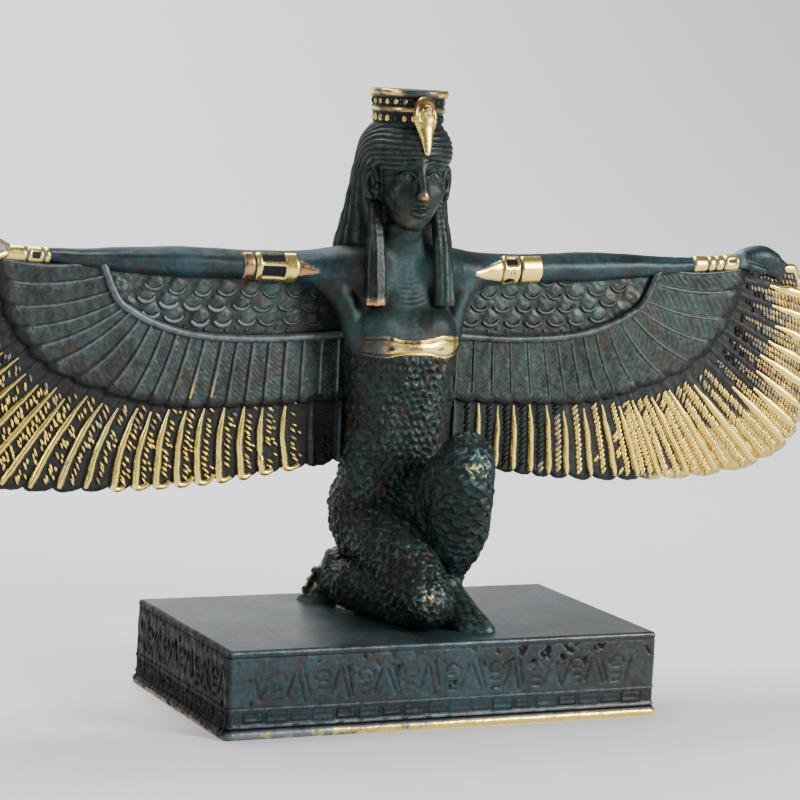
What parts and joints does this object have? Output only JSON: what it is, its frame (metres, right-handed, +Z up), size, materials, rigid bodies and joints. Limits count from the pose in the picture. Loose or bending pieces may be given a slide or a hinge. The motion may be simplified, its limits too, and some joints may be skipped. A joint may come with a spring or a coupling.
{
  "type": "winged kneeling figure statuette",
  "caption": "Small cast statuette of a winged woman kneeling on a low rectangular plinth, arms spread along two feathered wings, drum crown on the head.",
  "frame": {"origin": "middle of the plinth's underside", "axes": "+Z up, -Y towards the face and front, +X along the wings to the viewer's right"},
  "size_m": [0.3696, 0.0946, 0.22],
  "materials": {
    "patinated_bronze": "dark blue-green patina, rubbed bright on the raised relief"
  },
  "bodies": {
    "root": {"statue_casting": "patinated_bronze"}
  },
  "joints": []
}
